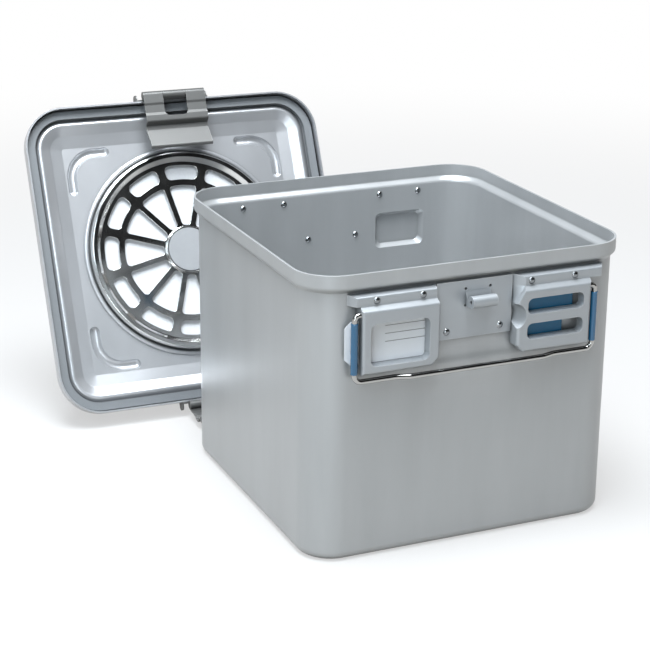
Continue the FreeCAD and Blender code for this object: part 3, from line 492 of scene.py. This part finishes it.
floor_half = 12.0
floor_bounce, floor_seen = (0.235, 0.215, 0.18, 1), (0.50, 0.50, 0.50, 1)
shadow_reach, white_reach = 0.5, 1.8
white_share = 0.55
bpy.ops.mesh.primitive_plane_add(size=2 * floor_half, location=(0, 0, 0))
floor = bpy.context.object
floor.name = "Studio_floor"
floor_material, floor_tree, floor_shader = new_material(
    "Studio floor", Roughness=0.9, Specular_IOR_Level=0.1)
floor_link = floor_tree.links.new
picture = eye_rays(floor_tree)
pale = add_node(floor_tree, "ShaderNodeMix", data_type="RGBA")
pale.inputs["A"].default_value = floor_bounce
pale.inputs["B"].default_value = floor_seen
spot = add_node(floor_tree, "ShaderNodeTexCoord")
reach = add_node(floor_tree, "ShaderNodeVectorMath", operation="LENGTH")
share = add_node(floor_tree, "ShaderNodeMapRange",
                 {"From Min": shadow_reach, "From Max": white_reach, "To Min": white_share},
                 interpolation_type="SMOOTHSTEP")
part = add_node(floor_tree, "ShaderNodeMath", operation="MULTIPLY")
white = add_node(floor_tree, "ShaderNodeEmission", {"Color": (1, 1, 1, 1), "Strength": 1.0})
mixed = add_node(floor_tree, "ShaderNodeMixShader")
floor_link(picture, pale.inputs["Factor"])
floor_link(pale.outputs["Result"], floor_shader.inputs["Base Color"])
floor_link(spot.outputs["Object"], reach.inputs[0])
floor_link(reach.outputs["Value"], share.inputs["Value"])
floor_link(picture, part.inputs[0])
floor_link(share.outputs[0], part.inputs[1])
floor_link(part.outputs[0], mixed.inputs[0])
floor_link(floor_shader.outputs[0], mixed.inputs[1])
floor_link(white.outputs[0], mixed.inputs[2])
floor_link(mixed.outputs[0], floor_tree.nodes["Material Output"].inputs["Surface"])
floor.data.materials.append(floor_material)

world = bpy.data.worlds.new("Studio")
bpy.context.scene.world = world
world.use_nodes = True
sky = world.node_tree
way = add_node(sky, "ShaderNodeTexCoord")
height = add_node(sky, "ShaderNodeSeparateXYZ")
ramp = add_node(sky, "ShaderNodeValToRGB")
sky_stops = ((0.0, (1, 1, 1, 1)), (0.07, (0.9, 0.9, 0.9, 1)), (0.28, (0.18, 0.20, 0.23, 1)),
             (0.40, (0.03, 0.03, 0.032, 1)), (0.60, (0.02, 0.02, 0.02, 1)),
             (0.85, (0.25, 0.27, 0.30, 1)))
stops_at_hand = len(ramp.color_ramp.elements)
for k, (position, colour) in enumerate(sky_stops):
    if k < stops_at_hand:
        stop = ramp.color_ramp.elements[k]
    else:
        stop = ramp.color_ramp.elements.new(position)
    stop.position = position
    stop.color = colour
left_side, right_side = -0.4, 0.6
right_share = 0.08
sky_glow = 0.27
side = add_node(sky, "ShaderNodeMapRange",
                {"From Min": left_side, "From Max": right_side, "To Min": 1.0,
                 "To Max": right_share})
dimmed = add_node(sky, "ShaderNodeVectorMath", operation="SCALE")
glow = add_node(sky, "ShaderNodeMath", {1: sky_glow}, operation="MULTIPLY")
around = add_node(sky, "ShaderNodeBackground", {"Color": (0.93, 0.96, 1.0, 1)})
backdrop = add_node(sky, "ShaderNodeBackground", {"Color": (1, 1, 1, 1), "Strength": 1.0})
lens_ray = add_node(sky, "ShaderNodeLightPath")
either = add_node(sky, "ShaderNodeMixShader")
whole = add_node(sky, "ShaderNodeMixShader")
sky.links.new(way.outputs["Generated"], height.inputs[0])
sky.links.new(height.outputs["Z"], ramp.inputs[0])
sky.links.new(height.outputs["X"], side.inputs["Value"])
sky.links.new(ramp.outputs[0], dimmed.inputs[0])
sky.links.new(side.outputs[0], dimmed.inputs["Scale"])
sky.links.new(dimmed.outputs[0], sky.nodes["Background"].inputs["Color"])
sky.links.new(side.outputs[0], glow.inputs[0])
sky.links.new(glow.outputs[0], around.inputs["Strength"])
sky.links.new(eye_rays(sky), either.inputs[0])
sky.links.new(around.outputs[0], either.inputs[1])
sky.links.new(sky.nodes["Background"].outputs[0], either.inputs[2])
sky.links.new(lens_ray.outputs["Is Camera Ray"], whole.inputs[0])
sky.links.new(either.outputs[0], whole.inputs[1])
sky.links.new(backdrop.outputs[0], whole.inputs[2])
sky.links.new(whole.outputs[0], sky.nodes["World Output"].inputs["Surface"])


def soft_lamp(name, place, aim, size, power, colour=(1.0, 1.0, 1.0)):
    """A square soft lamp at a place, facing a point."""
    data = bpy.data.lights.new(name, "AREA")
    data.color = colour
    data.shape = "RECTANGLE"
    data.size, data.size_y = size
    data.energy = power
    lamp = bpy.data.objects.new(name, data)
    bpy.context.scene.collection.objects.link(lamp)
    lamp.location = place
    lamp.rotation_euler = (Vector(place) - Vector(aim)).to_track_quat("Z", "Y").to_euler()


middle = (0.0, 0.05, 0.14)
soft_lamp("Key", place=(-1.25, -1.0, 1.45), aim=middle, size=(0.9, 0.9), power=16,
          colour=(0.80, 0.92, 1.0))
soft_lamp("Strip", place=(-0.85, -1.35, 0.42), aim=middle, size=(0.22, 0.6), power=4.2,
          colour=(0.84, 0.94, 1.0))
soft_lamp("Fill", place=(1.9, 0.1, 1.3), aim=middle, size=(1.4, 1.2), power=2)
soft_lamp("Top", place=(-0.25, -0.2, 1.9), aim=middle, size=(1.2, 1.0), power=84,
          colour=(0.92, 0.965, 1.0))


# The camera, where the photograph was taken from: a 100 mm lens at one and a half metres,
# 24 degrees round to the left and 19 degrees above the floor.

azimuth, elevation, roll = (math.radians(angle) for angle in (-23.742, 19.099, 0.479))
target = Vector((-0.07673, -0.02162, 0.16033))
distance = 1.5314
focal_pixels, image_pixels = 1809.8, 650
back = Vector((math.sin(azimuth) * math.cos(elevation), -math.cos(azimuth) * math.cos(elevation),
               math.sin(elevation)))
right = Vector((0, 0, 1)).cross(back).normalized()
up = back.cross(right)
turned_right = right * math.cos(roll) + up * math.sin(roll)
turned_up = up * math.cos(roll) - right * math.sin(roll)
lens = bpy.data.cameras.new("Camera")
lens.sensor_width = 36.0
lens.lens = focal_pixels * lens.sensor_width / image_pixels
lens.clip_start = 0.05
lens.clip_end = 60
camera = bpy.data.objects.new("Camera", lens)
bpy.context.scene.collection.objects.link(camera)
camera.matrix_world = Matrix.Translation(target + back * distance) @ Matrix(
    (turned_right, turned_up, back)).transposed().to_4x4()
bpy.context.scene.camera = camera
bpy.context.scene.view_settings.view_transform = "Standard"
